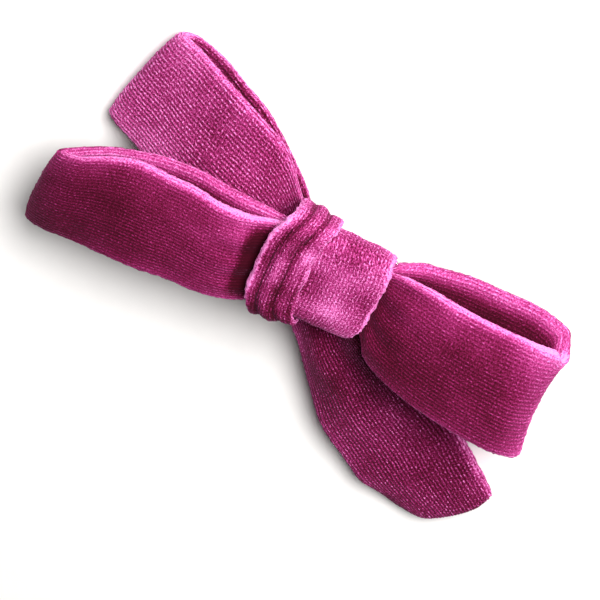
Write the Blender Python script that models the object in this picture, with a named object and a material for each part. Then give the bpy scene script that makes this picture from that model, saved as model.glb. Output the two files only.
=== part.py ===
"""Velvet bow barrette: a crossed pair of velvet loops held by a wrapped knot band, sewn on a French barrette clip.

Frame: +Z up through the face of the bow, +X along the front bow and the clip, origin at the middle of the
footprint on the surface it lies on. Metres. The route tables below are in millimetres from the knot's middle.
"""
from math import cos, pi, radians, sin, sqrt

import bmesh
import bpy
import numpy as np

# ---------------------------------------------------------------- driving dimensions (mm unless said)
ORIGIN = (3.45, 16.1, 0.0)      # knot middle in the part's frame
STRIP_THICK = 2.3               # velvet tube, pressed flat
STRIP_THICK_KNOT = 1.6          # the same under the knot
CROWN_TOP, CROWN_UNDER = 0.8, 0.2
CLIP_Y = -6.4                   # clip's centre line
KNOT_Y = -0.5                   # knot band's centre line
BASE_LEN, BASE_WIDTH, BASE_THICK = 65.0, 8.0, 0.8
BASE_TOP_MID, BASE_RISE, BASE_BEND = 11.2, 3.4, 26.0
FELT_LEN, FELT_WIDTH, FELT_THICK = 52.0, 8.0, 0.7
PIN_X, PIN_Z, PIN_R = -31.2, 4.6, 0.75
BORE_R = 1.05
ARM_THICK, ARM_WIDTH = 0.9, 5.6
SPRING_THICK, SPRING_WIDTH = 0.4, 5.0
CATCH_X, CATCH_HALF = 29.8, 1.2
GAP = 0.3

# Route of each strip round its two loops: x, y, z of its middle, heading of its width, lean of its width, half width.
FRONT_ROUTE = (
    # right loop, out on top
    (0.0, -0.5, 22.9, 90, 0, 7.3),
    (11.0, -0.7, 22.7, 88, 0, 7.4),
    (14.3, -2.4, 23.6, 88, 0, 10.1),
    (19.0, -3.0, 24.9, 87, 0, 11.4),
    (25.5, -3.9, 26.0, 88, 0, 12.1),
    (32.5, -4.8, 26.0, 89, 0, 12.6),
    (39.0, -5.6, 25.3, 91, 0, 13.0),
    (44.6, -6.3, 24.0, 92, 0, 13.2),
    (48.5, -6.9, 20.9, 91, 0, 13.1),
    # and back underneath
    (47.3, -5.0, 17.5, 89, 0, 13.0),
    (41.5, -3.5, 16.2, 88, 0, 12.9),
    (31.5, -3.2, 15.9, 87, 0, 12.6),
    (25.0, -2.6, 16.2, 87, 0, 11.9),
    (19.0, -1.9, 17.5, 88, 0, 10.5),
    (16.0, -1.2, 19.2, 89, 0, 9.3),
    (11.0, -0.6, 21.0, 90, 0, 7.4),
    (0.0, -0.5, 21.0, 90, 0, 7.3),
    # left loop, out underneath
    (-7.8, -0.7, 20.9, 91, 0, 7.4),
    (-11.5, -1.6, 20.8, 93, 0, 8.6),
    (-17.0, -3.5, 19.8, 95, 0, 10.2),
    (-22.0, -4.0, 19.4, 97, 0, 10.8),
    (-27.5, -4.0, 19.0, 99, 0, 11.2),
    (-34.0, -5.0, 18.4, 101, 0, 11.4),
    (-40.0, -6.5, 17.8, 100, 3, 11.4),
    (-47.0, -8.5, 16.6, 94, 10, 11.2),
    (-55.5, -11.0, 18.0, 84, 15, 10.8),
    # and back on top
    (-52.0, -9.0, 21.4, 84, 12, 10.8),
    (-46.0, -6.5, 22.8, 88, 7, 11.2),
    (-40.0, -5.0, 23.8, 91, 2, 11.4),
    (-33.0, -4.5, 24.4, 92, 0, 11.0),
    (-27.5, -4.0, 24.6, 94, 0, 10.6),
    (-22.0, -4.2, 24.8, 93, 0, 10.1),
    (-16.5, -3.7, 24.4, 93, 0, 9.9),
    (-11.5, -2.5, 23.2, 92, 0, 9.4),
    (-7.8, -0.7, 22.9, 91, 0, 7.4),
)
BACK_ROUTE = (
    # upper left loop, out on top
    (-4.5, -5.0, 15.3, 91, 0, 8.6),
    (-9.0, -1.5, 15.4, 94, 0, 11.0),
    (-15.5, 4.0, 15.4, 91, 0, 13.0),
    (-22.0, 7.0, 15.2, 87, 0, 13.2),
    (-28.5, 9.0, 13.8, 84, 0, 13.2),
    (-34.5, 10.5, 11.2, 81, 0, 13.0),
    (-40.5, 12.0, 8.0, 78, 0, 12.6),
    (-46.5, 12.5, 3.9, 73, 0, 12.4),
    # and back underneath
    (-45.5, 12.0, 1.7, 68, 0, 12.6),
    (-40.0, 11.5, 3.8, 66, 0, 12.8),
    (-33.5, 11.5, 8.2, 66, 4, 12.4),
    (-26.5, 9.5, 11.4, 67, 0, 11.8),
    (-19.5, 5.5, 12.9, 69, 0, 11.0),
    (-12.0, 0.0, 13.6, 72, 0, 10.0),
    (-3.5, -7.0, 13.7, 91, 2, 8.0),
    # lower right loop, out underneath
    (2.0, -11.0, 13.5, 81, 6, 9.2),
    (7.5, -18.0, 11.3, 66, 13, 10.2),
    (14.5, -26.5, 7.4, 54, 7, 11.0),
    (22.0, -34.0, 4.2, 49, 2, 11.8),
    (28.5, -40.0, 2.4, 45, 0, 12.2),
    (35.0, -45.0, 1.7, 45, 0, 11.8),
    (42.85, -50.0, 2.5, 40, 0, 10.6),
    # and back on top
    (35.0, -44.0, 5.1, 44, 0, 12.2),
    (28.0, -38.0, 6.4, 47, 0, 12.6),
    (20.5, -32.0, 8.4, 49, 2, 12.2),
    (13.5, -24.5, 11.0, 54, 7, 11.0),
    (6.5, -17.0, 13.7, 67, 13, 10.0),
    (1.0, -10.5, 15.2, 80, 5, 9.2),
)

MATERIALS = {}


# ---------------------------------------------------------------- helpers
def clear():
    for o in list(bpy.data.objects):
        bpy.data.objects.remove(o, do_unlink=True)


def material(name, colour, rough, metal=0.0):
    if name not in MATERIALS:
        m = bpy.data.materials.new(name)
        m.use_nodes = True
        b = m.node_tree.nodes["Principled BSDF"]
        b.inputs["Base Color"].default_value = (*colour, 1)
        b.inputs["Roughness"].default_value = rough
        b.inputs["Metallic"].default_value = metal
        MATERIALS[name] = m
    return MATERIALS[name]


def place(name, bm, mat, pivot=(0, 0, 0), helper=False):
    """An object from a bmesh in millimetres from the knot's middle, its origin at pivot."""
    bmesh.ops.remove_doubles(bm, verts=bm.verts, dist=1e-5)
    if bm.calc_volume(signed=True) < 0:
        bmesh.ops.reverse_faces(bm, faces=bm.faces)
    for v in bm.verts:
        v.co = [(v.co[i] - pivot[i]) * 0.001 for i in range(3)]
    me = bpy.data.meshes.new(name)
    bm.to_mesh(me)
    bm.free()
    me.shade_smooth()
    me.set_sharp_from_angle(angle=radians(40))
    o = bpy.data.objects.new(name, me)
    bpy.context.scene.collection.objects.link(o)
    o.location = [(pivot[i] + ORIGIN[i]) * 0.001 for i in range(3)]
    me.materials.append(mat)
    if helper:
        o.hide_render = True
        o.display_type = "WIRE"
    return o


def skin(rings, closed):
    """A bmesh lofted through rings of points; open ends are capped."""
    bm = bmesh.new()
    loops = [[bm.verts.new(p) for p in ring] for ring in rings]
    n, m = len(loops), len(loops[0])
    for i in range(n if closed else n - 1):
        a, b = loops[i], loops[(i + 1) % n]
        for j in range(m):
            k = (j + 1) % m
            bm.faces.new((a[j], a[k], b[k], b[j]))
    if not closed:
        bm.faces.new(list(reversed(loops[0])))
        bm.faces.new(loops[-1])
    return bm


def prism(outline, axis, low, high):
    """A bmesh of a flat outline pushed along axis 0, 1 or 2 from low to high."""
    bm = bmesh.new()
    ends = []
    for at in (low, high):
        ring = []
        for a, b in outline:
            p = [a, b]
            p.insert(axis, at)
            ring.append(bm.verts.new(p))
        ends.append(ring)
    bm.faces.new(ends[0])
    bm.faces.new(list(reversed(ends[1])))
    n = len(outline)
    for i in range(n):
        j = (i + 1) % n
        bm.faces.new((ends[0][i], ends[1][i], ends[1][j], ends[0][j]))
    bmesh.ops.recalc_face_normals(bm, faces=bm.faces)
    return bm


def circle(ca, cb, r, n=24):
    return [(ca + r * cos(2 * pi * i / n), cb + r * sin(2 * pi * i / n)) for i in range(n)]


def boolean(target, other, operation):
    m = target.modifiers.new(operation.lower() + "_" + other.name, "BOOLEAN")
    m.operation = operation
    m.solver = "EXACT"
    m.object = other
    return m


def spline(rows, t, closed):
    """Catmull-Rom through rows, spaced by the root of the chord; t counts rows."""
    k = np.asarray(rows, float)
    n = len(k)

    def row(i):
        return k[i % n] if closed else k[min(max(i, 0), n - 1)]

    out = []
    for u in t:
        i = int(np.floor(u))
        if not closed:
            i = min(i, n - 2)
        f = u - i
        p0, p1, p2, p3 = row(i - 1), row(i), row(i + 1), row(i + 2)
        d0, d1, d2 = (max(np.linalg.norm((b - a)[:3]), 1e-6) ** 0.5 for a, b in ((p0, p1), (p1, p2), (p2, p3)))
        m1 = ((p1 - p0) / d0 - (p2 - p0) / (d0 + d1) + (p2 - p1) / d1) * d1
        m2 = ((p2 - p1) / d1 - (p3 - p1) / (d1 + d2) + (p3 - p2) / d2) * d1
        if not closed and i == 0:
            m1 = p2 - p1
        if not closed and i == n - 2:
            m2 = p2 - p1
        f2, f3 = f * f, f * f * f
        out.append((2 * f3 - 3 * f2 + 1) * p1 + (f3 - 2 * f2 + f) * m1 + (-2 * f3 + 3 * f2) * p2 + (f3 - f2) * m2)
    return np.array(out)


def width_vectors(rows):
    out = []
    for x, y, z, head, lean, half in rows:
        a, b = radians(head), radians(lean)
        out.append((x, y, z, half * cos(a) * cos(b), half * sin(a) * cos(b), half * sin(b)))
    return out


def smooth(x):
    x = min(max(x, 0.0), 1.0)
    return x * x * (3 - 2 * x)


# across the strip: share of the half width, share of the half thickness
SECTION = (
    (1.0, 0.0), (0.985, 0.62), (0.93, 1.0), (0.5, 1.0), (0.0, 1.0), (-0.5, 1.0), (-0.93, 1.0), (-0.985, 0.62),
    (-1.0, 0.0), (-0.985, -0.62), (-0.93, -1.0), (-0.5, -1.0), (0.0, -1.0), (0.5, -1.0), (0.93, -1.0), (0.985, -0.62),
)


def strip_rings(route, stations, sense):
    """Sections of a flattened velvet tube round its closed route; sense is -1 where the route runs the other way."""
    t = np.arange(stations) * len(route) / stations
    rows = spline(width_vectors(route), t, True)
    mid, half = rows[:, :3], rows[:, 3:]
    tangent = np.roll(mid, -1, 0) - np.roll(mid, 1, 0)
    rings = []
    for c, w, d in zip(mid, half, tangent):
        n = np.cross(d, w) * sense
        n = n / np.linalg.norm(n)
        far = smooth((sqrt(c[0] ** 2 + (c[1] + 3) ** 2) - 10) / 9)
        thick = 0.5 * (STRIP_THICK_KNOT + (STRIP_THICK - STRIP_THICK_KNOT) * far)
        crown = far * (CROWN_UNDER + (CROWN_TOP - CROWN_UNDER) * (0.5 + 0.5 * n[2]))
        rings.append([c + v * w + (s * thick + crown * (1 - v * v)) * n for v, s in SECTION])
    return rings


def band_rings():
    """The knot band: one turn flat on the bow, then up over itself for a second, gathered turn."""
    rings = []
    start, end, step = -62.0, 574.0, 10.6
    count = int((end - start) / step) + 1
    for i in range(count):
        a = start + step * i
        turn = smooth((a - 228.0) / 58.0)
        shift = smooth((a - 215.0) / 75.0)
        up = max(sin(radians(a)), 0.0) ** 2
        middle = 1.2 + (-5.0 - 2.4 * up - 1.2) * shift
        half = (10.6 - 0.9 * cos(radians(a)) ** 2) * (1 - shift) + (4.4 + 0.6 * up) * shift
        side = 9.3 + 2.5 * turn
        top = 3.35 + 2.3 * turn
        bottom = 3.0 + 1.5 * turn
        ca, sa = cos(radians(a)), sin(radians(a))
        p = 0.5
        ry = abs(ca) ** p * (1 if ca > 0 else -1)
        rz = abs(sa) ** p * (1 if sa > 0 else -1)
        high = top if sa > 0 else bottom
        thick_top = 0.85 + 0.35 * turn
        thick_bottom = 0.65
        thick = 0.5 * (thick_top + thick_bottom) + 0.5 * (thick_top - thick_bottom) * sa
        # outward direction of the wrap, square to its path
        ny, nz = abs(ca) ** (2 - p) * (1 if ca > 0 else -1) / side, abs(sa) ** (2 - p) * (1 if sa > 0 else -1) / high
        size = sqrt(ny * ny + nz * nz)
        ny, nz = ny / size, nz / size
        ring = []
        for v, s in SECTION:
            flare = -0.35 * v * (1 - shift)
            y = KNOT_Y + (side + flare) * ry
            z = 21.9 + high * rz
            out = s * thick
            ring.append((middle + half * v, y + out * ny, z + out * nz))
        rings.append(ring)
    return rings


def base_top(x):
    return BASE_TOP_MID - BASE_RISE * (min(abs(x), BASE_BEND) / BASE_BEND) ** 2


def leaf(path, name_half, thick):
    """Rings of a bent sheet: path of (x, z), half width at each point, along the clip's centre line."""
    rings = []
    n = len(path)
    for i, (x, z) in enumerate(path):
        a, b = path[max(i - 1, 0)], path[min(i + 1, n - 1)]
        dx, dz = b[0] - a[0], b[1] - a[1]
        s = sqrt(dx * dx + dz * dz)
        nx, nz = -dz / s * thick / 2, dx / s * thick / 2
        h = name_half[i]
        rings.append([(x + nx, CLIP_Y - h, z + nz), (x + nx, CLIP_Y + h, z + nz),
                      (x - nx, CLIP_Y + h, z - nz), (x - nx, CLIP_Y - h, z - nz)])
    return rings


def tube(points, r, sides, closed):
    pts = [np.array(p, float) for p in points]
    n = len(pts)
    rings = []
    side = None
    for i in range(n):
        a = pts[i - 1] if (closed or i > 0) else pts[i]
        b = pts[(i + 1) % n] if (closed or i < n - 1) else pts[i]
        d = (b - a) / np.linalg.norm(b - a)
        if side is None:
            side = np.cross(d, (1.0, 0.15, 0.2))
        side = side - d * side.dot(d)
        side = side / np.linalg.norm(side)
        other = np.cross(d, side)
        rings.append([pts[i] + r * (cos(2 * pi * k / sides) * side + sin(2 * pi * k / sides) * other) for k in range(sides)])
    return rings


# ---------------------------------------------------------------- the model
clear()
VELVET = material("velvet_magenta", (0.42, 0.02, 0.19), 0.9)
VELVET_BACK = material("velvet_magenta_back", (0.45, 0.03, 0.22), 0.9)
VELVET_KNOT = material("velvet_magenta_knot", (0.5, 0.05, 0.25), 0.9)
FELT = material("felt_magenta", (0.3, 0.02, 0.13), 1.0)
THREAD = material("thread_magenta", (0.4, 0.03, 0.2), 0.6)
STEEL = material("nickel_plated_steel", (0.72, 0.71, 0.69), 0.3, 1.0)
SPRING_STEEL = material("spring_steel", (0.62, 0.62, 0.62), 0.35, 1.0)

# velvet
place("front_bow_strip", skin(strip_rings(FRONT_ROUTE, 72, 1), True), VELVET)
place("back_bow_strip", skin(strip_rings(BACK_ROUTE, 66, -1), True), VELVET_BACK)
place("knot_band", skin(band_rings(), False), VELVET_KNOT)

# felt lining on the base plate
xs = [-FELT_LEN / 2 + FELT_LEN * i / 20 for i in range(21)]
rings = []
for x in xs:
    end = min(1.0, sqrt(max(0.0, 1 - ((abs(x) - (FELT_LEN / 2 - 3)) / 3) ** 2)) if abs(x) > FELT_LEN / 2 - 3 else 1.0)
    h = FELT_WIDTH / 2 * (0.55 + 0.45 * end)
    z = base_top(x) + GAP
    rings.append([(x, CLIP_Y - h, z), (x, CLIP_Y + h, z), (x, CLIP_Y + h, z + FELT_THICK), (x, CLIP_Y - h, z + FELT_THICK)])
place("backing_felt", skin(rings, False), FELT)

# base plate with hinge ears, spring slot, sewing holes and rivet hole
xs = [-33.0, -32.4, -31.4, -29.5, -26.0, -22.0, -18.0, -13.0, -8.0, -3.0, 3.0, 8.0, 13.0, 18.0, 22.0, 26.0, 29.0, 31.0, 32.2, 32.8]
rings = []
for x in xs:
    h = BASE_WIDTH / 2
    if x > 29:
        h *= 0.5 + 0.5 * sqrt(max(0.0, 1 - ((x - 29) / 4.0) ** 2))
    z = base_top(x)
    rings.append([(x, CLIP_Y - h, z - BASE_THICK), (x, CLIP_Y + h, z - BASE_THICK), (x, CLIP_Y + h, z), (x, CLIP_Y - h, z)])
base = place("base_plate", skin(rings, False), STEEL)
ear = [(-33.0, 7.4), (-33.2, 4.6), (-32.8, 3.5), (-31.9, 2.8), (-31.2, 2.6), (-30.5, 2.8), (-29.6, 3.5), (-29.2, 4.6), (-28.6, 6.2), (-28.2, 7.4)]
for tag, low in (("front", -4.0), ("rear", 3.2)):
    helper = place("ear_" + tag, prism(ear, 1, CLIP_Y + low + (0.02 if low < 0 else 0), CLIP_Y + low + 0.8 - (0.02 if low > 0 else 0)), STEEL, helper=True)
    boolean(base, helper, "UNION")
cutter = place("ear_bore", prism(circle(PIN_X, PIN_Z, BORE_R), 1, CLIP_Y - 8, CLIP_Y + 8), STEEL, helper=True)
boolean(base, cutter, "DIFFERENCE")
for tag, x in (("a", -22.6), ("b", 22.6)):
    cutter = place("sewing_hole_" + tag, prism(circle(x, CLIP_Y, 0.9, 20), 2, 4, 14), STEEL, helper=True)
    boolean(base, cutter, "DIFFERENCE")
cutter = place("rivet_hole", prism(circle(CATCH_X, CLIP_Y, 0.9, 20), 2, 4, 14), STEEL, helper=True)
boolean(base, cutter, "DIFFERENCE")
cutter = place("spring_slot", prism([(-28.3, CLIP_Y - 1.5), (-26.9, CLIP_Y - 1.5), (-26.9, CLIP_Y + 1.5), (-28.3, CLIP_Y + 1.5)], 2, 4, 14), STEEL, helper=True)
boolean(base, cutter, "DIFFERENCE")

# hinge pin with two upset heads
profile = [(-5.1, 0.0), (-5.1, 0.8), (-4.9, 1.25), (-4.35, 1.3), (-4.3, PIN_R), (4.3, PIN_R), (4.35, 1.3), (4.9, 1.25), (5.1, 0.8), (5.1, 0.0)]
rings = []
for y, r in profile:
    r = max(r, 0.05)
    rings.append([(PIN_X + r * cos(2 * pi * k / 20), CLIP_Y + y, PIN_Z + r * sin(2 * pi * k / 20)) for k in range(20)])
place("hinge_pin", skin(rings, False), STEEL)

# clasp arm: knuckle round the pin, long bar with two flat feet, end plate with a window for the catch
pivot = (PIN_X, CLIP_Y, PIN_Z)
half = ARM_WIDTH / 2
path = [(-31.2, 3.35), (-29.8, 3.3), (-28.6, 2.6), (-27.2, 1.35), (-25.8, 0.65), (-24.5, ARM_THICK / 2), (-18.0, ARM_THICK / 2),
        (-14.0, 0.75), (-9.0, 1.1), (-4.0, 1.3), (4.0, 1.3), (9.0, 1.1), (14.0, 0.75), (18.0, ARM_THICK / 2), (23.0, ARM_THICK / 2),
        (24.6, 0.75), (26.0, 1.6), (27.2, 2.35), (28.4, 2.6), (31.0, 2.6), (33.0, 2.6), (33.8, 2.6)]
halves = [2.8, 2.8, 2.9, half, half, half, half, half, half, half, half, half, half, half, half, 3.3, 3.5, 3.7, 3.7, 3.7, 3.4, 2.6]
arm = place("clasp_arm", skin(leaf(path, halves, ARM_THICK), False), STEEL, pivot)
knuckle = place("knuckle", prism(circle(PIN_X, PIN_Z, 1.7), 1, CLIP_Y - 2.8, CLIP_Y + 2.8), STEEL, pivot, helper=True)
boolean(arm, knuckle, "UNION")
bore = place("knuckle_bore", prism(circle(PIN_X, PIN_Z, BORE_R), 1, CLIP_Y - 8, CLIP_Y + 8), STEEL, pivot, helper=True)
boolean(arm, bore, "DIFFERENCE")
window = place("arm_window", prism([(28.1, CLIP_Y - 2.4), (31.9, CLIP_Y - 2.4), (31.9, CLIP_Y + 2.4), (28.1, CLIP_Y + 2.4)], 2, -2, 8), STEEL, pivot, helper=True)
boolean(arm, window, "DIFFERENCE")

# tension spring: bowed leaf hooked through the slot at the hinge end
pivot = (-27.6, CLIP_Y, 7.0)
path = [(-26.5, 8.5), (-27.1, 8.5), (-27.55, 8.3), (-27.6, 7.9), (-27.6, 7.0), (-27.5, 6.5), (-27.0, 6.2), (-25.5, 6.15),
        (-21.0, 6.5), (-15.0, 6.85), (-8.0, 7.05), (0.0, 7.0), (8.0, 6.6), (14.0, 6.05), (19.0, 5.45), (21.6, 5.3), (22.6, 5.5)]
halves = [1.1, 1.1, 1.1, 1.1, 1.1, 1.2, 1.7, 2.5, 2.5, 2.5, 2.5, 2.5, 2.5, 2.5, 2.3, 2.0, 1.6]
place("tension_spring", skin(leaf(path, halves, SPRING_THICK), False), SPRING_STEEL, pivot)

# catch: bracket under the base plate, rivet, and two sprung prongs that stand in the arm's window
z0 = base_top(CATCH_X) - BASE_THICK
bracket = place("catch_bracket", prism([(CATCH_X - 1.7, CLIP_Y - 2.3), (CATCH_X + 1.7, CLIP_Y - 2.3), (CATCH_X + 1.7, CLIP_Y + 2.3), (CATCH_X - 1.7, CLIP_Y + 2.3)], 2, z0 - 0.8, z0 - 0.3), SPRING_STEEL)
cutter = place("bracket_hole", prism(circle(CATCH_X, CLIP_Y, 0.9, 20), 2, 4, 14), STEEL, helper=True)
boolean(bracket, cutter, "DIFFERENCE")
profile = [(z0 - 1.6, 0.7), (z0 - 1.35, 1.15), (z0 - 1.1, 1.25), (z0 - 1.08, 0.6), (z0 + BASE_THICK + 0.28, 0.6), (z0 + BASE_THICK + 0.3, 1.4), (z0 + BASE_THICK + 0.6, 1.2), (z0 + BASE_THICK + 0.85, 0.6)]
rings = [[(CATCH_X + r * cos(2 * pi * k / 20), CLIP_Y + r * sin(2 * pi * k / 20), z) for k in range(20)] for z, r in profile]
place("catch_rivet", skin(rings, False), STEEL)
for tag, s in (("front", -1.0), ("rear", 1.0)):
    outline = [(1.6, z0 - 1.1), (2.1, z0 - 1.1), (2.1, 2.0), (2.28, 1.55), (2.28, 1.1), (1.95, 0.3), (1.5, 0.3), (1.6, 1.2)]
    outline = [(CLIP_Y + s * y, z) for y, z in outline]
    place("catch_prong_" + tag, prism(outline, 0, CATCH_X - CATCH_HALF, CATCH_X + CATCH_HALF), SPRING_STEEL, (CATCH_X, CLIP_Y + s * 1.85, z0 - 1.1))

# sewing thread: one loop round base plate and felt at each end, and a zigzag along the band's end
for tag, x in (("hinge_end", -18.6), ("catch_end", 18.6)):
    low, high = base_top(x) - BASE_THICK - 0.7, base_top(x) + GAP + FELT_THICK + 0.62
    h = FELT_WIDTH / 2 + 0.92
    pts = []
    for i in range(28):
        a = 2 * pi * i / 28
        ca, sa = cos(a), sin(a)
        pts.append((x, CLIP_Y + h * abs(ca) ** 0.35 * (1 if ca > 0 else -1),
                    (low + high) / 2 + (high - low) / 2 * abs(sa) ** 0.35 * (1 if sa > 0 else -1)))
    place("thread_tack_" + tag, skin(tube(pts, 0.25, 8, True), True), THREAD)

# stitches that hold the knot band's tucked end: one thread, whipped along the lower edge
pts = []
for i in range(41):
    u = i / 40
    pts.append((-8.8 + 7.0 * u, KNOT_Y - 12.85, 18.9 + 0.55 * cos(12 * pi * u)))
place("knot_stitch", skin(tube(pts, 0.2, 6, False), False), THREAD)
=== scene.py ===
"""Looks of the velvet bow barrette: ribbed stretch velvet loops, gathered knot, felt, thread and plated clip."""

from math import cos, pi, radians, sin, sqrt

import bpy
import numpy as np
from mathutils import Matrix, Vector


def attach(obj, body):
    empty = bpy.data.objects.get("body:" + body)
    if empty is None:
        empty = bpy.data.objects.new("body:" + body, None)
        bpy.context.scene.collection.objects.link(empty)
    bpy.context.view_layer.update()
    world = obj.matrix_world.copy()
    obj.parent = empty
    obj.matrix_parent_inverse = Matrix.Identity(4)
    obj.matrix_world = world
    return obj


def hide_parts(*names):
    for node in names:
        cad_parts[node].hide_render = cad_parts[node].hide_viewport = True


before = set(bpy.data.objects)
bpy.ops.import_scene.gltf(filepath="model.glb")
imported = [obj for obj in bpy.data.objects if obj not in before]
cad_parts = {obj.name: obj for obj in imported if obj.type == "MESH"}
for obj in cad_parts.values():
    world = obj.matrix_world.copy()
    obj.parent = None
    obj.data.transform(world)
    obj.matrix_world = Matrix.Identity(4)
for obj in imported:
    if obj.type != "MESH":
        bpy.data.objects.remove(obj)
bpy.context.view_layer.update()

# ---------------------------------------------------------------- dimensions, mm from the knot's middle
ORIGIN = np.array([3.45, 16.1, 0.0])
STRIP_THICK, STRIP_THICK_KNOT = 2.3, 1.6
CROWN_TOP, CROWN_UNDER = 0.8, 0.2
RIBS = 66                        # wales round the flattened tube, 0.79 mm apart
RIB_HIGH = 0.10
CLIP_Y = -6.4
BASE_TOP_MID, BASE_RISE, BASE_BEND, BASE_THICK = 11.2, 3.4, 26.0, 0.8
FELT_LEN, FELT_WIDTH, FELT_THICK, GAP = 52.0, 8.0, 0.7, 0.3

FRONT_ROUTE = (
    (0.0, -0.5, 22.9, 90, 0, 7.3), (11.0, -0.7, 22.7, 88, 0, 7.4), (14.3, -2.4, 23.6, 88, 0, 10.1), (19.0, -3.0, 24.9, 87, 0, 11.4), (25.5, -3.9, 26.0, 88, 0, 12.1),
    (32.5, -4.8, 26.0, 89, 0, 12.6), (39.0, -5.6, 25.3, 91, 0, 13.0), (44.6, -6.3, 24.0, 92, 0, 13.2), (48.5, -6.9, 20.9, 91, 0, 13.1),
    (47.3, -5.0, 17.5, 89, 0, 13.0), (41.5, -3.5, 16.2, 88, 0, 12.9), (31.5, -3.2, 15.9, 87, 0, 12.6), (25.0, -2.6, 16.2, 87, 0, 11.9),
    (19.0, -1.9, 17.5, 88, 0, 10.5), (16.0, -1.2, 19.2, 89, 0, 9.3), (11.0, -0.6, 21.0, 90, 0, 7.4), (0.0, -0.5, 21.0, 90, 0, 7.3),
    (-7.8, -0.7, 20.9, 91, 0, 7.4), (-11.5, -1.6, 20.8, 93, 0, 8.6), (-17.0, -3.5, 19.8, 95, 0, 10.2), (-22.0, -4.0, 19.4, 97, 0, 10.8), (-27.5, -4.0, 19.0, 99, 0, 11.2),
    (-34.0, -5.0, 18.4, 101, 0, 11.4), (-40.0, -6.5, 17.8, 100, 3, 11.4), (-47.0, -8.5, 16.6, 94, 10, 11.2), (-55.5, -11.0, 18.0, 84, 15, 10.8),
    (-52.0, -9.0, 21.4, 84, 12, 10.8), (-46.0, -6.5, 22.8, 88, 7, 11.2), (-40.0, -5.0, 23.8, 91, 2, 11.4), (-33.0, -4.5, 24.4, 92, 0, 11.0),
    (-27.5, -4.0, 24.6, 94, 0, 10.6), (-22.0, -4.2, 24.8, 93, 0, 10.1), (-16.5, -3.7, 24.4, 93, 0, 9.9), (-11.5, -2.5, 23.2, 92, 0, 9.4), (-7.8, -0.7, 22.9, 91, 0, 7.4),
)
BACK_ROUTE = (
    (-4.5, -5.0, 15.3, 91, 0, 8.6), (-9.0, -1.5, 15.4, 94, 0, 11.0), (-15.5, 4.0, 15.4, 91, 0, 13.0), (-22.0, 7.0, 15.2, 87, 0, 13.2),
    (-28.5, 9.0, 13.8, 84, 0, 13.2), (-34.5, 10.5, 11.2, 81, 0, 13.0), (-40.5, 12.0, 8.0, 78, 0, 12.6), (-46.5, 12.5, 3.9, 73, 0, 12.4),
    (-45.5, 12.0, 1.7, 68, 0, 12.6), (-40.0, 11.5, 3.8, 66, 0, 12.8), (-33.5, 11.5, 8.2, 66, 4, 12.4), (-26.5, 9.5, 11.4, 67, 0, 11.8),
    (-19.5, 5.5, 12.9, 69, 0, 11.0), (-12.0, 0.0, 13.6, 72, 0, 10.0), (-3.5, -7.0, 13.7, 91, 2, 8.0),
    (2.0, -11.0, 13.5, 81, 6, 9.2), (7.5, -18.0, 11.3, 66, 13, 10.2), (14.5, -26.5, 7.4, 54, 7, 11.0), (22.0, -34.0, 4.2, 49, 2, 11.8),
    (28.5, -40.0, 2.4, 45, 0, 12.2), (35.0, -45.0, 1.7, 45, 0, 11.8), (42.85, -50.0, 2.5, 40, 0, 10.6),
    (35.0, -44.0, 5.1, 44, 0, 12.2), (28.0, -38.0, 6.4, 47, 0, 12.6), (20.5, -32.0, 8.4, 49, 2, 12.2), (13.5, -24.5, 11.0, 54, 7, 11.0),
    (6.5, -17.0, 13.7, 67, 13, 10.0), (1.0, -10.5, 15.2, 80, 5, 9.2),
)


# ---------------------------------------------------------------- numbers
def smooth(x):
    x = np.clip(x, 0.0, 1.0)
    return x * x * (3 - 2 * x)


def value_noise(a, b, seed, wrap_a=None, wrap_b=None):
    """Smooth value noise in -1..1 at a, b; wrap_a and wrap_b are whole numbers of cells."""
    table = np.random.default_rng(seed).uniform(-1, 1, (128, 128))
    ia, ib = np.floor(a).astype(int), np.floor(b).astype(int)
    fa, fb = a - ia, b - ib
    fa, fb = fa * fa * (3 - 2 * fa), fb * fb * (3 - 2 * fb)

    def at(i, j):
        if wrap_a:
            i = i % wrap_a
        if wrap_b:
            j = j % wrap_b
        return table[(i * 7 + j * 13 + (i // 128) * 31) % 128, (j * 5 + i * 3 + (j // 128) * 17) % 128]

    top = at(ia, ib) * (1 - fa) + at(ia + 1, ib) * fa
    bottom = at(ia, ib + 1) * (1 - fa) + at(ia + 1, ib + 1) * fa
    return top * (1 - fb) + bottom * fb


def spline(rows, t):
    """Catmull-Rom round closed rows, spaced by the root of the chord; t counts rows."""
    k = np.asarray(rows, float)
    n = len(k)
    out = []
    for u in t:
        i = int(np.floor(u))
        f = u - i
        p0, p1, p2, p3 = k[(i - 1) % n], k[i % n], k[(i + 1) % n], k[(i + 2) % n]
        d0, d1, d2 = (max(np.linalg.norm((b - a)[:3]), 1e-6) ** 0.5 for a, b in ((p0, p1), (p1, p2), (p2, p3)))
        m1 = ((p1 - p0) / d0 - (p2 - p0) / (d0 + d1) + (p2 - p1) / d1) * d1
        m2 = ((p2 - p1) / d1 - (p3 - p1) / (d1 + d2) + (p3 - p2) / d2) * d1
        f2, f3 = f * f, f * f * f
        out.append((2 * f3 - 3 * f2 + 1) * p1 + (f3 - 2 * f2 + f) * m1 + (-2 * f3 + 3 * f2) * p2 + (f3 - f2) * m2)
    return np.array(out)


def width_vectors(rows):
    out = []
    for x, y, z, head, lean, half in rows:
        a, b = radians(head), radians(lean)
        out.append((x, y, z, half * cos(a) * cos(b), half * sin(a) * cos(b), half * sin(b)))
    return out


def unit(v):
    return v / np.linalg.norm(v, axis=-1, keepdims=True)


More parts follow.
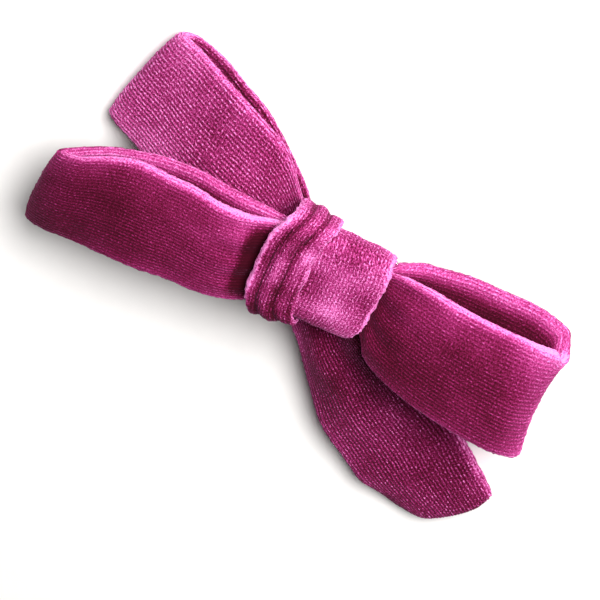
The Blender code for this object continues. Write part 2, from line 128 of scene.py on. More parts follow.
def grid_mesh(name, points, cloth, closed_along, mat, nap_and_painted_light=None):
    """A mesh from points[station, around], closed round each station, with cloth coordinates in mm kept on the points."""
    s, k = points.shape[:2]
    me = bpy.data.meshes.new(name)
    verts = (points.reshape(-1, 3) + ORIGIN) * 0.001
    i = np.arange(s if closed_along else s - 1)[:, None]
    j = np.arange(k)[None, :]
    i2, j2 = (i + 1) % s, (j + 1) % k
    quads = np.stack([i * k + j, i * k + j2, i2 * k + j2, i2 * k + j], -1).reshape(-1, 4)
    faces = quads.tolist()
    if not closed_along:
        faces.append(list(range(k - 1, -1, -1)))
        faces.append(list(range((s - 1) * k, s * k)))
    me.from_pydata(verts.tolist(), [], faces)
    me.update()
    att = me.attributes.new("cloth", "FLOAT_VECTOR", "POINT")
    att.data.foreach_set("vector", cloth.reshape(-1).astype(np.float32))
    # Per-point pile lie together with painted sheen and shade, read by the velvet colour ramp.
    if nap_and_painted_light is not None:
        att = me.attributes.new("nap_and_painted_light", "FLOAT", "POINT")
        att.data.foreach_set("value", np.clip(nap_and_painted_light, -0.4, 1).reshape(-1).astype(np.float32))
    me.shade_smooth()
    me.materials.append(mat)
    o = bpy.data.objects.new(name, me)
    bpy.context.scene.collection.objects.link(o)
    import bmesh
    bm = bmesh.new()
    bm.from_mesh(me)
    if bm.calc_volume(signed=True) < 0:
        bmesh.ops.reverse_faces(bm, faces=bm.faces)
        bm.to_mesh(me)
    bm.free()
    return o


def section(count, wide=12.0, thick=1.15):
    """Evenly spaced points round a flattened tube with round edges: (share of the flat part, edge cos, edge sin, share of the perimeter, perimeter)."""
    flat, bend = 2 * (wide - thick), pi * thick
    total = 2 * (flat + bend)
    d = np.arange(count) / count * total
    q, c, s = np.zeros(count), np.zeros(count), np.zeros(count)
    for i, x in enumerate(d):
        if x < flat:
            q[i], s[i] = 1 - 2 * x / flat, 1.0
        elif x < flat + bend:
            a = (x - flat) / thick
            q[i], c[i], s[i] = -1.0, -sin(a), cos(a)
        elif x < 2 * flat + bend:
            q[i], s[i] = -1 + 2 * (x - flat - bend) / flat, -1.0
        else:
            a = (x - 2 * flat - bend) / thick
            q[i], c[i], s[i] = 1.0, sin(a), -cos(a)
    return q, c, s, d / total, total


def mirrored(at, total):
    """Cloth distance that runs out and back, so that it has no jump; its turns lie in the middle of the two edges."""
    shifted = (at + 0.0345) % 1.0
    return np.where(shifted < 0.5, shifted, 1 - shifted) * total


def velvet_strip(name, route, stations, sense, mat, seed, shape, nap_and_light_of, push=None):
    rows = spline(width_vectors(route), np.arange(stations) * len(route) / stations)
    mid, half = rows[:, :3], rows[:, 3:]
    tangent = np.roll(mid, -1, 0) - np.roll(mid, 1, 0)
    along = np.concatenate([[0], np.cumsum(np.linalg.norm(np.diff(mid, axis=0), axis=1))])
    length = along[-1] + np.linalg.norm(mid[0] - mid[-1])
    n = unit(np.cross(tangent, half) * sense)
    w = unit(half)
    wide = np.linalg.norm(half, axis=1)
    far = smooth((np.sqrt(mid[:, 0] ** 2 + (mid[:, 1] + 3) ** 2) - 10) / 9)
    thick = 0.5 * (STRIP_THICK_KNOT + (STRIP_THICK - STRIP_THICK_KNOT) * far)
    crown = far * (CROWN_UNDER + (CROWN_TOP - CROWN_UNDER) * (0.5 + 0.5 * n[:, 2]))
    q, c, s, at, total = section(272)
    q, c, s, at = (v[None, :] for v in (q, c, s, at))
    T, W, F = thick[:, None], wide[:, None], far[:, None]
    across = (W - T) * q + T * c
    share = across / W
    puff = F * 0.5 * (1 - np.abs(share) ** 3) * np.clip(s, -0.6, 1)
    out = T * s + puff
    # soft unevenness of the cloth, wales, and pile
    cells = int(length / 7.0)
    rough = value_noise(at * 8, along[:, None] / length * cells, seed, 8, cells)
    cells2 = int(length / 2.6)
    rough2 = value_noise(at * 22, along[:, None] / length * cells2, seed + 1, 22, cells2)
    fuzz = value_noise(at * 264, along[:, None] * 1.9, seed + 2)
    edge = np.clip(np.abs(c), 0, 1)
    bent = (1 - np.abs(n[:, 2]))[:, None]             # the loop's fold, where the wales stand out as teeth
    wale = ((0.5 + 0.5 * np.cos(2 * pi * RIBS * (at + 0.0345))) - 0.5) * RIB_HIGH * (0.45 + 1.9 * bent ** 2)
    grow = F * (0.13 * rough + 0.05 * rough2) * (1 - 0.6 * edge) + wale + (0.04 + 0.16 * edge + 0.10 * bent ** 2) * fuzz
    across = across + grow * c
    out = out + grow * s
    lift = crown[:, None] * (1 - share ** 2) + shape(mid, share, F)
    points = mid[:, None, :] + across[..., None] * w[:, None, :] + (out + lift)[..., None] * n[:, None, :]
    if push is not None:
        points = points + push(mid, share)
    points[..., 2] = np.maximum(points[..., 2], 0.01)    # the lower loops lie on the table
    cloth = np.stack([mirrored(at, total) + 0 * across, along[:, None] + 0 * across, 4.0 * s + 0 * across], -1)
    o = grid_mesh(name, points, cloth, True, mat, nap_and_light_of(mid, share, n, s))
    return o, length


def knot(name, mat):
    """One flat turn, then up over itself for a second turn gathered into rolls."""
    step = 2.0
    angle = np.arange(-62.0, 574.01, step)
    turn = smooth((angle - 228.0) / 58.0)
    shift = smooth((angle - 215.0) / 75.0)
    over = smooth((angle - 255.0) / 45.0)[:, None]
    rad = np.radians(angle)
    ca, sa = np.cos(rad), np.sin(rad)
    up = np.clip(sa, 0, 1) ** 2
    middle = 1.2 + shift * (-5.0 - 2.4 * up - 1.2)
    half = (10.6 - 0.9 * ca ** 2) * (1 - shift) + shift * (4.4 + 0.6 * up)
    side, top, bottom = 9.2 + 2.5 * turn, 3.35 + 2.3 * turn, 3.0 + 1.5 * turn
    p = np.where(sa > 0, 0.52, 0.62)
    ry, rz = np.sign(ca) * np.abs(ca) ** p, np.sign(sa) * np.abs(sa) ** p
    tall = np.where(sa > 0, top, bottom)
    thick = 0.5 * (0.85 + 0.35 * turn + 0.65) + 0.5 * (0.2 + 0.35 * turn) * sa
    ny, nz = np.sign(ca) * np.abs(ca) ** (2 - p) / side, np.sign(sa) * np.abs(sa) ** (2 - p) / tall
    size = np.sqrt(ny * ny + nz * nz)
    ny, nz = ny / size, nz / size
    q, c, s, at, total = section(248, 12.0, 0.9)
    q, c, s, at = (v[None, :] for v in (q, c, s, at))
    tip = np.clip(np.minimum(angle - angle[0], angle[-1] - angle) / 7.0, 0, 1)
    tip = np.sqrt(1 - (1 - tip) ** 2) * 0.97 + 0.03
    H = half[:, None]
    lead = smooth((q + 0.3) / 1.3)                   # towards the edge that lies on the first turn
    T = (thick * tip)[:, None] * (1 - 0.45 * over * lead)
    across = (H - T) * q + T * c
    v = across / H
    length = np.concatenate([[0], np.cumsum(np.hypot(np.diff(side * ry), np.diff(tall * rz)))])
    L = length[:, None]
    # rolls of the gathered turn
    wander = 0.10 * np.sin(rad)[:, None] + 0.06 * np.sin(2.3 * rad + 1)[:, None] + 0.05 * value_noise(L / 5.0 + 0 * v, v * 1.5 + 9, 70)
    roll = np.abs(np.sin(pi * 1.3 * (v + 1.3 * wander + 1.15))) ** 0.8
    pinch = 0.5 + 0.5 * np.clip(sa, 0, 1)[:, None] ** 2
    rolls = over * (0.85 * roll - 0.55) * pinch
    soft = (1 - over) * (0.10 * np.sin(8 * v + 0.6 * np.sin(2 * rad)[:, None]) * np.clip(0.6 - v, 0, 1) + 0.35 * (1 - np.abs(v) ** 3))
    rough = value_noise(at * 14, L / 4.0, 71) * 0.12 + value_noise(at * 34, L / 1.6, 72) * 0.06
    fuzz = value_noise(at * 240, L * 1.9, 73)
    ribs = (0.5 + 0.5 * np.cos(2 * pi * RIBS * (at + 0.0345))) * RIB_HIGH * 0.45
    rim = np.abs(c)
    outer = np.clip(s, 0, 1)
    grow = ribs - 0.22 * RIB_HIGH + outer * (rolls + soft + rough) + 0.05 * fuzz + 0.28 * fuzz * rim + 0.14 * rim * value_noise(at * 3, L * 2.6, 74)
    out = T * s + grow * s * tip[:, None] - 1.0 * over * lead * (0.4 + 0.6 * up[:, None])
    across = across + grow * c
    y = -0.5 + side[:, None] * ry[:, None] + 0 * v
    z = 21.9 + (tall * rz)[:, None]
    slant = (1 - shift[:, None]) * (0.06 * (y + out * ny[:, None]) - 2.0 * np.clip(-ca, 0, 1)[:, None] ** 4) * np.clip(v, 0, 1)
    points = np.stack([middle[:, None] + across + slant, y + out * ny[:, None], z + out * nz[:, None]], -1)
    cloth = np.stack([mirrored(at, total) * H / 11.0, L + 0 * across, 4.0 * s + 0 * across], -1)
    # Painted light: painted sheen on the rims, painted highlights on the ridges of the rolls with painted shade in
    # their valleys, and lighter on the +Y side that faces the key light.
    nap_and_painted_light = 0.30 + 0.50 * rim + 0.08 * np.abs(v) ** 6 + 0.21 * (1 - over) * (0.6 + 0.4 * np.clip(v, 0, 1)) + 0.42 * over * (roll - 0.62) + 0.18 * np.clip(ca, 0, 1)[:, None] + 0.22 * value_noise(at * 6 * (0.4 + 0.6 * H / 11.0), L / 3.0, 75)
    # Painted shade on the -Y side of the upper turn, away from the key light.
    nap_and_painted_light = nap_and_painted_light - 0.24 * smooth((-ca - 0.15) / 0.6)[:, None] * over * (1 - rim)
    return grid_mesh(name, points, cloth, False, mat, nap_and_painted_light), float(length[-1])


# ---------------------------------------------------------------- node materials
def links(mat):
    mat.use_nodes = True
    t = mat.node_tree
    bsdf = t.nodes["Principled BSDF"]

    def node(kind, **values):
        made = t.nodes.new(kind)
        for key, value in values.items():
            if key.startswith("in_"):
                key = key[3:]
                socket = made.inputs[int(key)] if key.isdigit() else made.inputs[key.replace("_", " ")]
                if isinstance(value, bpy.types.NodeSocket):
                    t.links.new(value, socket)
                else:
                    socket.default_value = value
            else:
                setattr(made, key, value)
        return made

    def math(op, a, b=0.0, c=None, clamp=False):
        made = t.nodes.new("ShaderNodeMath")
        made.operation = op
        made.use_clamp = clamp
        for i, value in enumerate((a, b, c)):
            if value is None:
                continue
            if isinstance(value, bpy.types.NodeSocket):
                t.links.new(value, made.inputs[i])
            else:
                made.inputs[i].default_value = value
        return made.outputs[0]

    def mix(f, a, b, kind="MIX"):
        made = t.nodes.new("ShaderNodeMix")
        made.data_type = "RGBA"
        made.blend_type = kind
        for socket, value in ((made.inputs[0], f), (made.inputs[6], a), (made.inputs[7], b)):
            if isinstance(value, bpy.types.NodeSocket):
                t.links.new(value, socket)
            else:
                socket.default_value = value if isinstance(value, float) else (*value, 1.0)
        return made.outputs[2]

    return t, bsdf, node, math, mix


# Pile colours from dark maroon to pink; the pinkest stops carry the painted sheen and highlights on rims and folds.
PILE_AND_SHEEN = ((0.0, (0.040, 0.0008, 0.007)), (0.25, (0.118, 0.0038, 0.030)), (0.50, (0.265, 0.016, 0.108)), (0.75, (0.540, 0.068, 0.290)), (1.0, (0.900, 0.270, 0.660)))


def velvet(name, patchy, wales, grit, dashes, sheen, rough, relief):
    """Ribbed stretch velvet. A per-point attribute holds how far the pile lies over together with painted sheen on rims
    and folds and painted shade in gaps and tucks, and takes the colour from dark maroon to pink;
    wales follow the cloth coordinates, and each wale is broken into short tufts that lie unevenly, brightened by
    painted glints."""
    m = bpy.data.materials.new(name)
    t, bsdf, node, math, mix = links(m)
    cloth = node("ShaderNodeAttribute", attribute_name="cloth").outputs["Vector"]
    u, v, w = node("ShaderNodeSeparateXYZ", in_0=cloth).outputs
    # Pile lie with painted sheen, highlights and shade, set per point on the mesh.
    nap_and_painted_light = node("ShaderNodeAttribute", attribute_name="nap_and_painted_light").outputs["Fac"]

    def noise(a, b, detail, rough=0.5):
        at = node("ShaderNodeCombineXYZ", in_0=math("MULTIPLY", u, a), in_1=math("MULTIPLY", v, b), in_2=w).outputs[0]
        return node("ShaderNodeTexNoise", in_Vector=at, in_Scale=1.0, in_Detail=detail, in_Roughness=rough).outputs["Fac"]

    wobble = noise(0.35, 0.35, 2.0)
    wale_w = math("MULTIPLY_ADD", math("SUBTRACT", wobble, 0.5), 0.5, math("MULTIPLY", u, 1 / 0.799))
    wave = math("MULTIPLY_ADD", math("COSINE", math("MULTIPLY", wale_w, 2 * pi)), 0.5, 0.5)
    fine = noise(3.4, 3.0, 3.0, 0.7)
    dash = noise(2.9, 1.7, 1.0)
    brushed = noise(0.10, 0.07, 3.0, 0.55)
    worn = noise(0.22, 0.16, 2.0)
    clear = math("MULTIPLY_ADD", math("SUBTRACT", worn, 0.42), 5.0, 0.35, clamp=True)
    rib = math("MULTIPLY", math("SUBTRACT", wave, 0.5), math("MULTIPLY_ADD", clear, 0.7, 0.3))
    lie_and_painted_light = math("MULTIPLY_ADD", math("SUBTRACT", brushed, 0.5), patchy, nap_and_painted_light)
    lie_and_painted_light = math("MULTIPLY_ADD", rib, wales, lie_and_painted_light)
    lie_and_painted_light = math("MULTIPLY_ADD", math("SUBTRACT", fine, 0.5), grit, lie_and_painted_light)
    # Short tufts along the wales: bumped in relief and brightened in colour as painted glints.
    tufts_and_glints = math("MULTIPLY", math("MULTIPLY", math("SUBTRACT", dash, 0.50), 4.0, clamp=True), math("MULTIPLY_ADD", wave, 0.8, 0.2))
    lie_and_painted_light = math("MULTIPLY_ADD", tufts_and_glints, dashes, lie_and_painted_light, clamp=True)
    ramp = node("ShaderNodeValToRGB", in_Fac=lie_and_painted_light)
    stops = ramp.color_ramp.elements
    for i, (at, colour) in enumerate(PILE_AND_SHEEN):
        stop = stops[i] if i < 1 else (stops[-1] if i == len(PILE_AND_SHEEN) - 1 else stops.new(at))
        stop.position, stop.color = at, (*colour, 1)
    t.links.new(ramp.outputs[0], bsdf.inputs["Base Color"])
    height = math("MULTIPLY_ADD", tufts_and_glints, 0.6, math("MULTIPLY_ADD", wave, 0.7, math("MULTIPLY", fine, 0.8)))
    bump = node("ShaderNodeBump", in_Strength=relief, in_Distance=0.00016, in_Height=height)
    t.links.new(bump.outputs[0], bsdf.inputs["Normal"])
    bsdf.inputs["Roughness"].default_value = 0.95
    bsdf.inputs["Specular IOR Level"].default_value = 0.10
    bsdf.inputs["Sheen Weight"].default_value = sheen
    bsdf.inputs["Sheen Roughness"].default_value = rough
    bsdf.inputs["Sheen Tint"].default_value = (1.0, 0.28, 0.66, 1)
    return m


def felt_material():
    m = bpy.data.materials.new("felt")
    t, bsdf, node, math, mix = links(m)
    at = node("ShaderNodeTexCoord").outputs["Object"]
    big = node("ShaderNodeTexNoise", in_Vector=at, in_Scale=700.0, in_Detail=4.0, in_Roughness=0.7).outputs["Fac"]
    fibre = node("ShaderNodeTexWave", in_Vector=at, in_Scale=900.0, in_Distortion=28.0, in_Detail=4.0).outputs["Fac"]
    tone = math("MULTIPLY_ADD", fibre, 0.5, math("MULTIPLY", big, 0.7), clamp=True)
    t.links.new(mix(tone, (0.09, 0.006, 0.035), (0.26, 0.03, 0.12)), bsdf.inputs["Base Color"])
    bump = node("ShaderNodeBump", in_Strength=0.8, in_Distance=0.00012, in_Height=tone)
    t.links.new(bump.outputs[0], bsdf.inputs["Normal"])
    bsdf.inputs["Roughness"].default_value = 1.0
    bsdf.inputs["Sheen Weight"].default_value = 0.4
    bsdf.inputs["Sheen Tint"].default_value = (1.0, 0.5, 0.8, 1)
    return m


def thread_material():
    m = bpy.data.materials.new("thread")
    t, bsdf, node, math, mix = links(m)
    at = node("ShaderNodeTexCoord").outputs["Object"]
    fine = node("ShaderNodeTexNoise", in_Vector=at, in_Scale=9000.0, in_Detail=2.0).outputs["Fac"]
    t.links.new(mix(fine, (0.16, 0.01, 0.07), (0.48, 0.06, 0.26)), bsdf.inputs["Base Color"])
    bump = node("ShaderNodeBump", in_Strength=0.5, in_Distance=0.00003, in_Height=fine)
    t.links.new(bump.outputs[0], bsdf.inputs["Normal"])
    bsdf.inputs["Roughness"].default_value = 0.55
    bsdf.inputs["Sheen Weight"].default_value = 0.3
    return m


def metal(name, colour, worn, rough, grain, direction):
    """Plated or satin steel: drawing grain along one axis, small scuffs, duller patches where fingers and hair rub."""
    m = bpy.data.materials.new(name)
    t, bsdf, node, math, mix = links(m)
    at = node("ShaderNodeTexCoord").outputs["Object"]
    stretch = node("ShaderNodeMapping", in_Vector=at)
    stretch.inputs["Scale"].default_value = direction
    lines = node("ShaderNodeTexNoise", in_Vector=stretch.outputs[0], in_Scale=1.0, in_Detail=4.0, in_Roughness=0.65).outputs["Fac"]
    cloud = node("ShaderNodeTexNoise", in_Vector=at, in_Scale=160.0, in_Detail=4.0, in_Roughness=0.6).outputs["Fac"]
    scuff = None
    for turn, spread in ((0.35, (260.0, 7000.0, 7000.0)), (-0.6, (420.0, 8500.0, 8500.0))):
        slanted = node("ShaderNodeMapping", in_Vector=at)
        slanted.inputs["Rotation"].default_value = (0.2, 0.3, turn)
        slanted.inputs["Scale"].default_value = spread
        streak = node("ShaderNodeTexNoise", in_Vector=slanted.outputs[0], in_Scale=1.0, in_Detail=1.0).outputs["Fac"]
        streak = math("MULTIPLY", math("SUBTRACT", streak, 0.66), 9.0, clamp=True)
        scuff = streak if scuff is None else math("MAXIMUM", scuff, streak)
    patch = math("MULTIPLY_ADD", math("SUBTRACT", cloud, 0.5), 3.0, 0.4, clamp=True)
    t.links.new(mix(patch, colour, worn), bsdf.inputs["Base Color"])
    r = math("MULTIPLY_ADD", patch, 0.16, math("MULTIPLY_ADD", lines, grain, rough))
    r = math("MULTIPLY_ADD", scuff, 0.12, r, clamp=True)
    t.links.new(r, bsdf.inputs["Roughness"])
    bsdf.inputs["Metallic"].default_value = 1.0
    edge = node("ShaderNodeBevel", samples=4, in_Radius=0.00014)
    height = math("MULTIPLY_ADD", lines, 0.6, math("MULTIPLY", scuff, -0.8))
    bump = node("ShaderNodeBump", in_Strength=0.3, in_Distance=0.00001, in_Height=height, in_Normal=edge.outputs[0])
    t.links.new(bump.outputs[0], bsdf.inputs["Normal"])
    return m


V_FRONT = velvet("velvet_front", 0.6, 0.16, 1.55, 0.32, 0.22, 0.30, 0.6)
V_BACK = velvet("velvet_back", 0.6, 0.30, 2.2, 0.66, 0.25, 0.30, 0.9)
V_KNOT = velvet("velvet_knot", 1.0, 0.13, 2.4, 0.62, 0.25, 0.30, 0.9)
FELT = felt_material()
THREAD = thread_material()
NICKEL = metal("nickel_plate", (0.74, 0.72, 0.69), (0.60, 0.57, 0.53), 0.16, 0.10, (300.0, 4200.0, 2500.0))
SATIN = metal("spring_steel", (0.58, 0.58, 0.59), (0.47, 0.46, 0.45), 0.26, 0.18, (260.0, 6000.0, 3000.0))

# ---------------------------------------------------------------- velvet pieces
def tail_crease(mid, share, far):
    """Soft lengthwise pleats where the lower loops leave the knot."""
    x, y = mid[:, 0][:, None], mid[:, 1][:, None]
    tail = smooth((-y - 9) / 5) * (1 - smooth((-y - 22) / 14)) * smooth((x + 3) / 4)
    return tail * (0.75 * np.cos(5.6 * (share + 0.42)) - 0.1)


def tail_round(mid, share):
    """The lower loop's fold isn't square: its left corner draws back and its middle bulges."""
    reach = smooth((mid[:, 0] * 0.643 - mid[:, 1] * 0.766 - 52.0) / 12.0)[:, None]
    back = 3.2 * smooth((-share - 0.25) / 0.75) ** 1.6 + 0.9 * smooth((share - 0.6) / 0.4) - 0.8 * (1 - share ** 2)
    return -(reach * back)[..., None] * np.array([0.643, -0.766, 0.0])


def front_shape(mid, share):
    """The right loop is creased hard: its end draws in at the middle and its upper corner dips between the two layers."""
    x, z = mid[:, 0][:, None], mid[:, 2][:, None]
    hollow = -2.6 * smooth((x - 41.5) / 7.0) * (1 - share ** 2)
    dip = -1.7 * smooth((x - 46.8) / 1.6) * smooth((share - 0.60) / 0.38)
    cover = 0.9 * smooth((21.6 - z) / 0.8) * smooth((x - 11.4) / 1.2) * smooth((21.0 - x) / 5.0) * smooth(share)
    return hollow[..., None] * np.array([1.0, 0.0, 0.0]) + (dip + cover)[..., None] * np.array([0.0, 1.0, 0.0])


def front_gather(mid, share, far):
    x = np.abs(mid[:, 0])[:, None]
    near = smooth((x - 10.5) / 3) * (1 - smooth((x - 15) / 10))
    return near * 0.22 * np.cos(11 * share + 0.8)


def front_nap_and_painted_light(mid, share, n, s):
    """How far the pile lies over, with painted light: dark on the flat of the left loop and lighter towards the knot, a
    painted shadow where it tucks under the knot, painted shade on the right loop beside the knot and on the inner
    faces, and painted sheen at the folds, on every edge and towards the +Y edge that faces the key light.
    """
    x = mid[:, 0][:, None]
    # Tones along each loop, with a painted shadow where the left loop tucks under the knot (strongest across the middle
    # of the width) and painted shade on the right loop next to the knot.
    tuck_shadow_mask = 1 - smooth((np.abs(share) - 0.45) / 0.5)
    left = 0.09 + 0.08 * smooth((x + 45) / 15) + 0.20 * smooth((x + 27) / 13) - (0.12 + 0.80 * tuck_shadow_mask) * smooth((x + 17.0) / 3.0)
    right = 0.12 + 0.02 * smooth((x - 16) / 8) + 0.24 * smooth((x - 37) / 11) - 0.16 * smooth((14.5 - x) / 3)
    flat = np.where(x < 0, left, right)
    rim = np.abs(share) ** 16
    fold = (1 - np.abs(n[:, 2]))[:, None]
    upper = smooth((share + 0.1) / 1.0) ** 1.5 * 0.16
    under = (n[:, 2] < 0).astype(float)[:, None] * smooth(-n[:, 2] / 0.5)[:, None]
    inside = np.clip(-s, 0, 1)
    # Painted light: lighter towards the +Y edge that faces the key light, and painted sheen on the rims, the edges and
    # the folds.
    lit = flat + upper * (1 - 0.8 * fold) + 0.46 * rim * (1 - 0.6 * fold) + 0.14 * np.abs(share) ** 6 + 0.26 * fold
    # Painted shade on the lower layer's inner face with a painted highlight near its far rim, and painted shade on the
    # inner faces.
    low = 0.02 + 0.70 * smooth((share - 0.58) / 0.42) * inside + (1 - inside) * (0.15 + 0.5 * rim)
    return lit * (1 - under) * (1 - 0.5 * inside * (1 - rim)) + under * low


def back_nap_and_painted_light(mid, share, n, s):
    x, y = mid[:, 0][:, None], mid[:, 1][:, None]
    tail = smooth((-y - 6) / 8) * smooth((x + 4) / 6)
    upper = 0.36 + 0.12 * smooth((-x - 26) / 14) + 0.10 * smooth((-share - 0.2) / 0.6)
    flat = upper * (1 - tail) + tail * (0.10 + 0.12 * smooth((-y - 20) / 16))
    rim = np.abs(share) ** 12
    fold = (1 - np.abs(n[:, 2]))[:, None]
    # Painted shade on the inner face of the upper loop.
    gap = (1 - tail) * np.clip(-s, 0, 1) * 0.45
    # Painted sheen on the rims and at the folds.
    return flat - gap + (0.30 + 0.12 * tail) * rim + 0.20 * fold + tail * 0.18 * smooth((-share - 0.3) / 0.7) * smooth((30 + y) / 16)


front, front_len = velvet_strip("bow_front_velvet", FRONT_ROUTE, 448, 1, V_FRONT, 11, front_gather, front_nap_and_painted_light, front_shape)
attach(front, "base")
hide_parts("front_bow_strip")

back, back_len = velvet_strip("bow_back_velvet", BACK_ROUTE, 420, -1, V_BACK, 31, tail_crease, back_nap_and_painted_light, tail_round)
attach(back, "base")
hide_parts("back_bow_strip")

band, band_len = knot("knot_velvet", V_KNOT)
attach(band, "base")
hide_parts("knot_band")


# ---------------------------------------------------------------- felt
def base_top(x):
    return BASE_TOP_MID - BASE_RISE * (np.minimum(np.abs(x), BASE_BEND) / BASE_BEND) ** 2


def felt_piece():
    n = 190
    xs = np.linspace(-FELT_LEN / 2, FELT_LEN / 2, n)
    end = np.sqrt(np.clip(1 - (np.clip(np.abs(xs) - (FELT_LEN / 2 - 3), 0, 3) / 3) ** 2, 0, 1))
    half = FELT_WIDTH / 2 * (0.55 + 0.45 * end)
    q, c, s, at, total = section(84, 4.3, 0.35)
    T = FELT_THICK / 2
    tip = np.clip((FELT_LEN / 2 - np.abs(xs)) / 0.35, 0, 1)
    tip = np.sqrt(1 - (1 - tip) ** 2) * 0.95 + 0.05
    rows = []
    fuzz = value_noise(at[None, :] * 80 + 0 * xs[:, None], xs[:, None] * 2.2 + 90 + 0 * at[None, :], 51)
    soft = value_noise(at[None, :] * 9 + 0 * xs[:, None], xs[:, None] * 0.4 + 90 + 0 * at[None, :], 52)
    grow = 0.035 * fuzz + 0.04 * soft
    across = (half[:, None] - T) * q[None, :] + (T + grow) * c[None, :]
    out = (T * tip[:, None] + grow) * s[None, :]
    z = base_top(xs)[:, None] + GAP + T + out
    points = np.stack([xs[:, None] + 0 * z, CLIP_Y + across, z], -1)
    cloth = np.stack([at[None, :] * total + 0 * z, xs[:, None] + 0 * z, 0 * z], -1)
    return grid_mesh("backing_felt_pressed", points, cloth, False, FELT)


felt = felt_piece()
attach(felt, "base")
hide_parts("backing_felt")


# ---------------------------------------------------------------- thread
def ply(name, path, closed, radius=0.12, off=0.10, pitch=1.1, sides=8):
    """Two-ply twisted thread along a path of points, mm."""
    p = np.asarray(path, float)
    if closed:
        p = np.vstack([p, p[:1]])
    seg = np.linalg.norm(np.diff(p, axis=0), axis=1)
    run = np.concatenate([[0], np.cumsum(seg)])
    total = run[-1]
    n = int(total / 0.16)
    at = np.linspace(0, total, n, endpoint=not closed)
    pts = np.stack([np.interp(at, run, p[:, i]) for i in range(3)], -1)
    if closed:
        tan = np.roll(pts, -1, 0) - np.roll(pts, 1, 0)
    else:
        tan = np.gradient(pts, axis=0)
    tan = unit(tan)
    side = [np.cross(tan[0], (0.9, 0.15, 0.2))]
    for i in range(n):
        s = side[-1] - tan[i] * side[-1].dot(tan[i])
        side.append(s / np.linalg.norm(s))
    side = np.array(side[1:])
    other = np.cross(tan, side)
    turns = max(1, round(total / pitch)) if closed else total / pitch
    pieces = []
    for strand in (0, 1):
        ph = 2 * pi * turns * at / total + pi * strand
        mid = pts + off * (np.cos(ph)[:, None] * side + np.sin(ph)[:, None] * other)
        a = 2 * pi * np.arange(sides) / sides
        rings = mid[:, None, :] + radius * (np.cos(a)[None, :, None] * side[:, None, :] + np.sin(a)[None, :, None] * other[:, None, :])
        cloth = np.stack([0 * rings[..., 0] + a[None, :], 0 * rings[..., 0] + at[:, None], 0 * rings[..., 0]], -1)
        o = grid_mesh(name + ("_ply_a" if strand == 0 else "_ply_b"), rings, cloth, closed, THREAD)
        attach(o, "base")
        pieces.append(o)
    return pieces


for tag, x0 in (("hinge_end", -18.6), ("catch_end", 18.6)):
    made = []
    for turn, dx in enumerate((-0.5, 0.02, 0.5)):
        x = x0 + dx
        top = float(base_top(np.array(x0))) + GAP + FELT_THICK + 0.36
        bottom = float(base_top(np.array(x0))) - BASE_THICK - 0.42
        h = FELT_WIDTH / 2 + 0.62 + 0.05 * turn
        loop = []
        for i in range(60):
            a = 2 * pi * i / 60
            ca, sa = cos(a), sin(a)
            loop.append((x + 0.12 * sin(2 * a + turn), CLIP_Y + h * abs(ca) ** 0.35 * (1 if ca > 0 else -1),
                         (top + bottom) / 2 + (top - bottom) / 2 * abs(sa) ** 0.35 * (1 if sa > 0 else -1)))
        made += ply(f"tack_{tag}_{turn + 1}", loop, True)
    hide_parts("thread_tack_" + tag)

path = [(-8.8 + 7.0 * i / 80, -13.35, 18.9 + 0.55 * cos(12 * pi * i / 80)) for i in range(81)]
stitch = ply("knot_stitch_thread", path, False, 0.1, 0.08)
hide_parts("knot_stitch")

# ---------------------------------------------------------------- metal finishes on the CAD nodes
for node, mat in (("base_plate", NICKEL), ("hinge_pin", NICKEL), ("clasp_arm", NICKEL), ("catch_rivet", NICKEL),
                  ("tension_spring", SATIN), ("catch_bracket", SATIN), ("catch_prong_front", SATIN), ("catch_prong_rear", SATIN)):
    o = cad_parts[node]
    o.data.materials.clear()
    o.data.materials.append(mat)

# ---------------------------------------------------------------- floor, light, camera
def floor_material():
    m = bpy.data.materials.new("floor_paper")
    t, bsdf, node, math, mix = links(m)
    at = node("ShaderNodeTexCoord").outputs["Object"]
    grain = node("ShaderNodeTexNoise", in_Vector=at, in_Scale=260.0, in_Detail=3.0).outputs["Fac"]
    t.links.new(mix(grain, (0.86, 0.852, 0.845), (0.90, 0.893, 0.887)), bsdf.inputs["Base Color"])
    bsdf.inputs["Roughness"].default_value = 0.9
    bsdf.inputs["Specular IOR Level"].default_value = 0.1
    return m


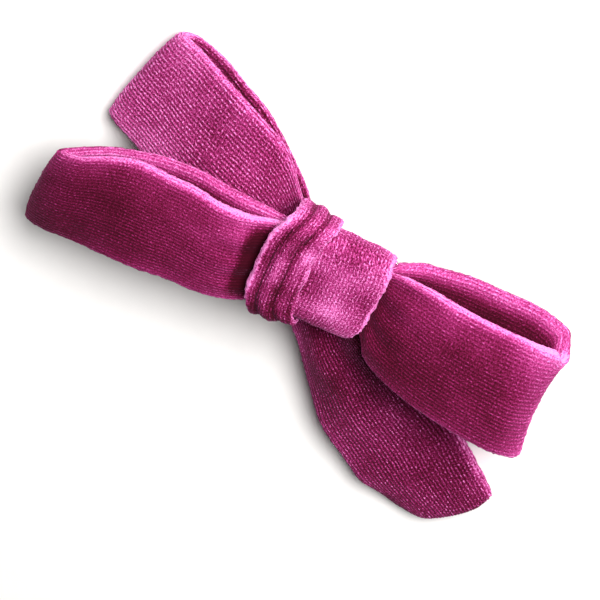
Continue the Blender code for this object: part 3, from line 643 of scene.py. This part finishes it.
me = bpy.data.meshes.new("floor")
me.from_pydata([(-2.5, -2.5, 0), (2.5, -2.5, 0), (2.5, 2.5, 0), (-2.5, 2.5, 0)], [], [(0, 1, 2, 3)])
floor = bpy.data.objects.new("floor", me)
bpy.context.scene.collection.objects.link(floor)
floor.location.z = -0.0002
me.materials.append(floor_material())

world = bpy.data.worlds.new("studio")
bpy.context.scene.world = world
world.use_nodes = True
world.node_tree.nodes["Background"].inputs[0].default_value = (1.0, 0.99, 0.985, 1)
world.node_tree.nodes["Background"].inputs[1].default_value = 0.06


def area(name, direction, distance, size, power, colour=(1, 1, 1)):
    d = bpy.data.lights.new(name, "AREA")
    d.shape = "DISK"
    d.size = size
    d.energy = power
    d.color = colour
    o = bpy.data.objects.new(name, d)
    bpy.context.scene.collection.objects.link(o)
    v = Vector(direction).normalized()
    o.location = Vector((0.0, 0.01, 0.012)) + v * distance
    o.rotation_mode = "QUATERNION"
    o.rotation_quaternion = v.to_track_quat("Z", "Y")
    return o


area("key", (0.18, 0.64, 0.77), 0.75, 0.38, 11.3, (1.0, 0.985, 0.97))
area("side", (0.95, 0.3, 0.5), 0.8, 0.35, 1.1)

# camera: the view the bow was seen from
el, roll = radians(58.0), radians(25.0)
forward = Vector((0, -cos(el), -sin(el)))
down = Vector((0, sin(el), -cos(el)))
right = cos(roll) * Vector((1, 0, 0)) + sin(roll) * down
up = -sin(roll) * Vector((1, 0, 0)) + cos(roll) * down
place = (Vector((0, 0, 24.0)) - forward * 520.0 - right * 3.99 - up * 4.37 + Vector(ORIGIN)) * 0.001
cam = bpy.data.cameras.new("camera")
cam.lens, cam.sensor_width = 164.2, 36.0
cam.clip_start, cam.clip_end = 0.01, 20.0
camera = bpy.data.objects.new("camera", cam)
bpy.context.scene.collection.objects.link(camera)
turn = Matrix((right, up, -forward)).transposed()
camera.matrix_world = Matrix.Translation(place) @ turn.to_4x4()
bpy.context.scene.camera = camera
bpy.context.scene.view_settings.view_transform = "Standard"
bpy.context.scene.view_settings.look = "None"

bpy.context.view_layer.update()
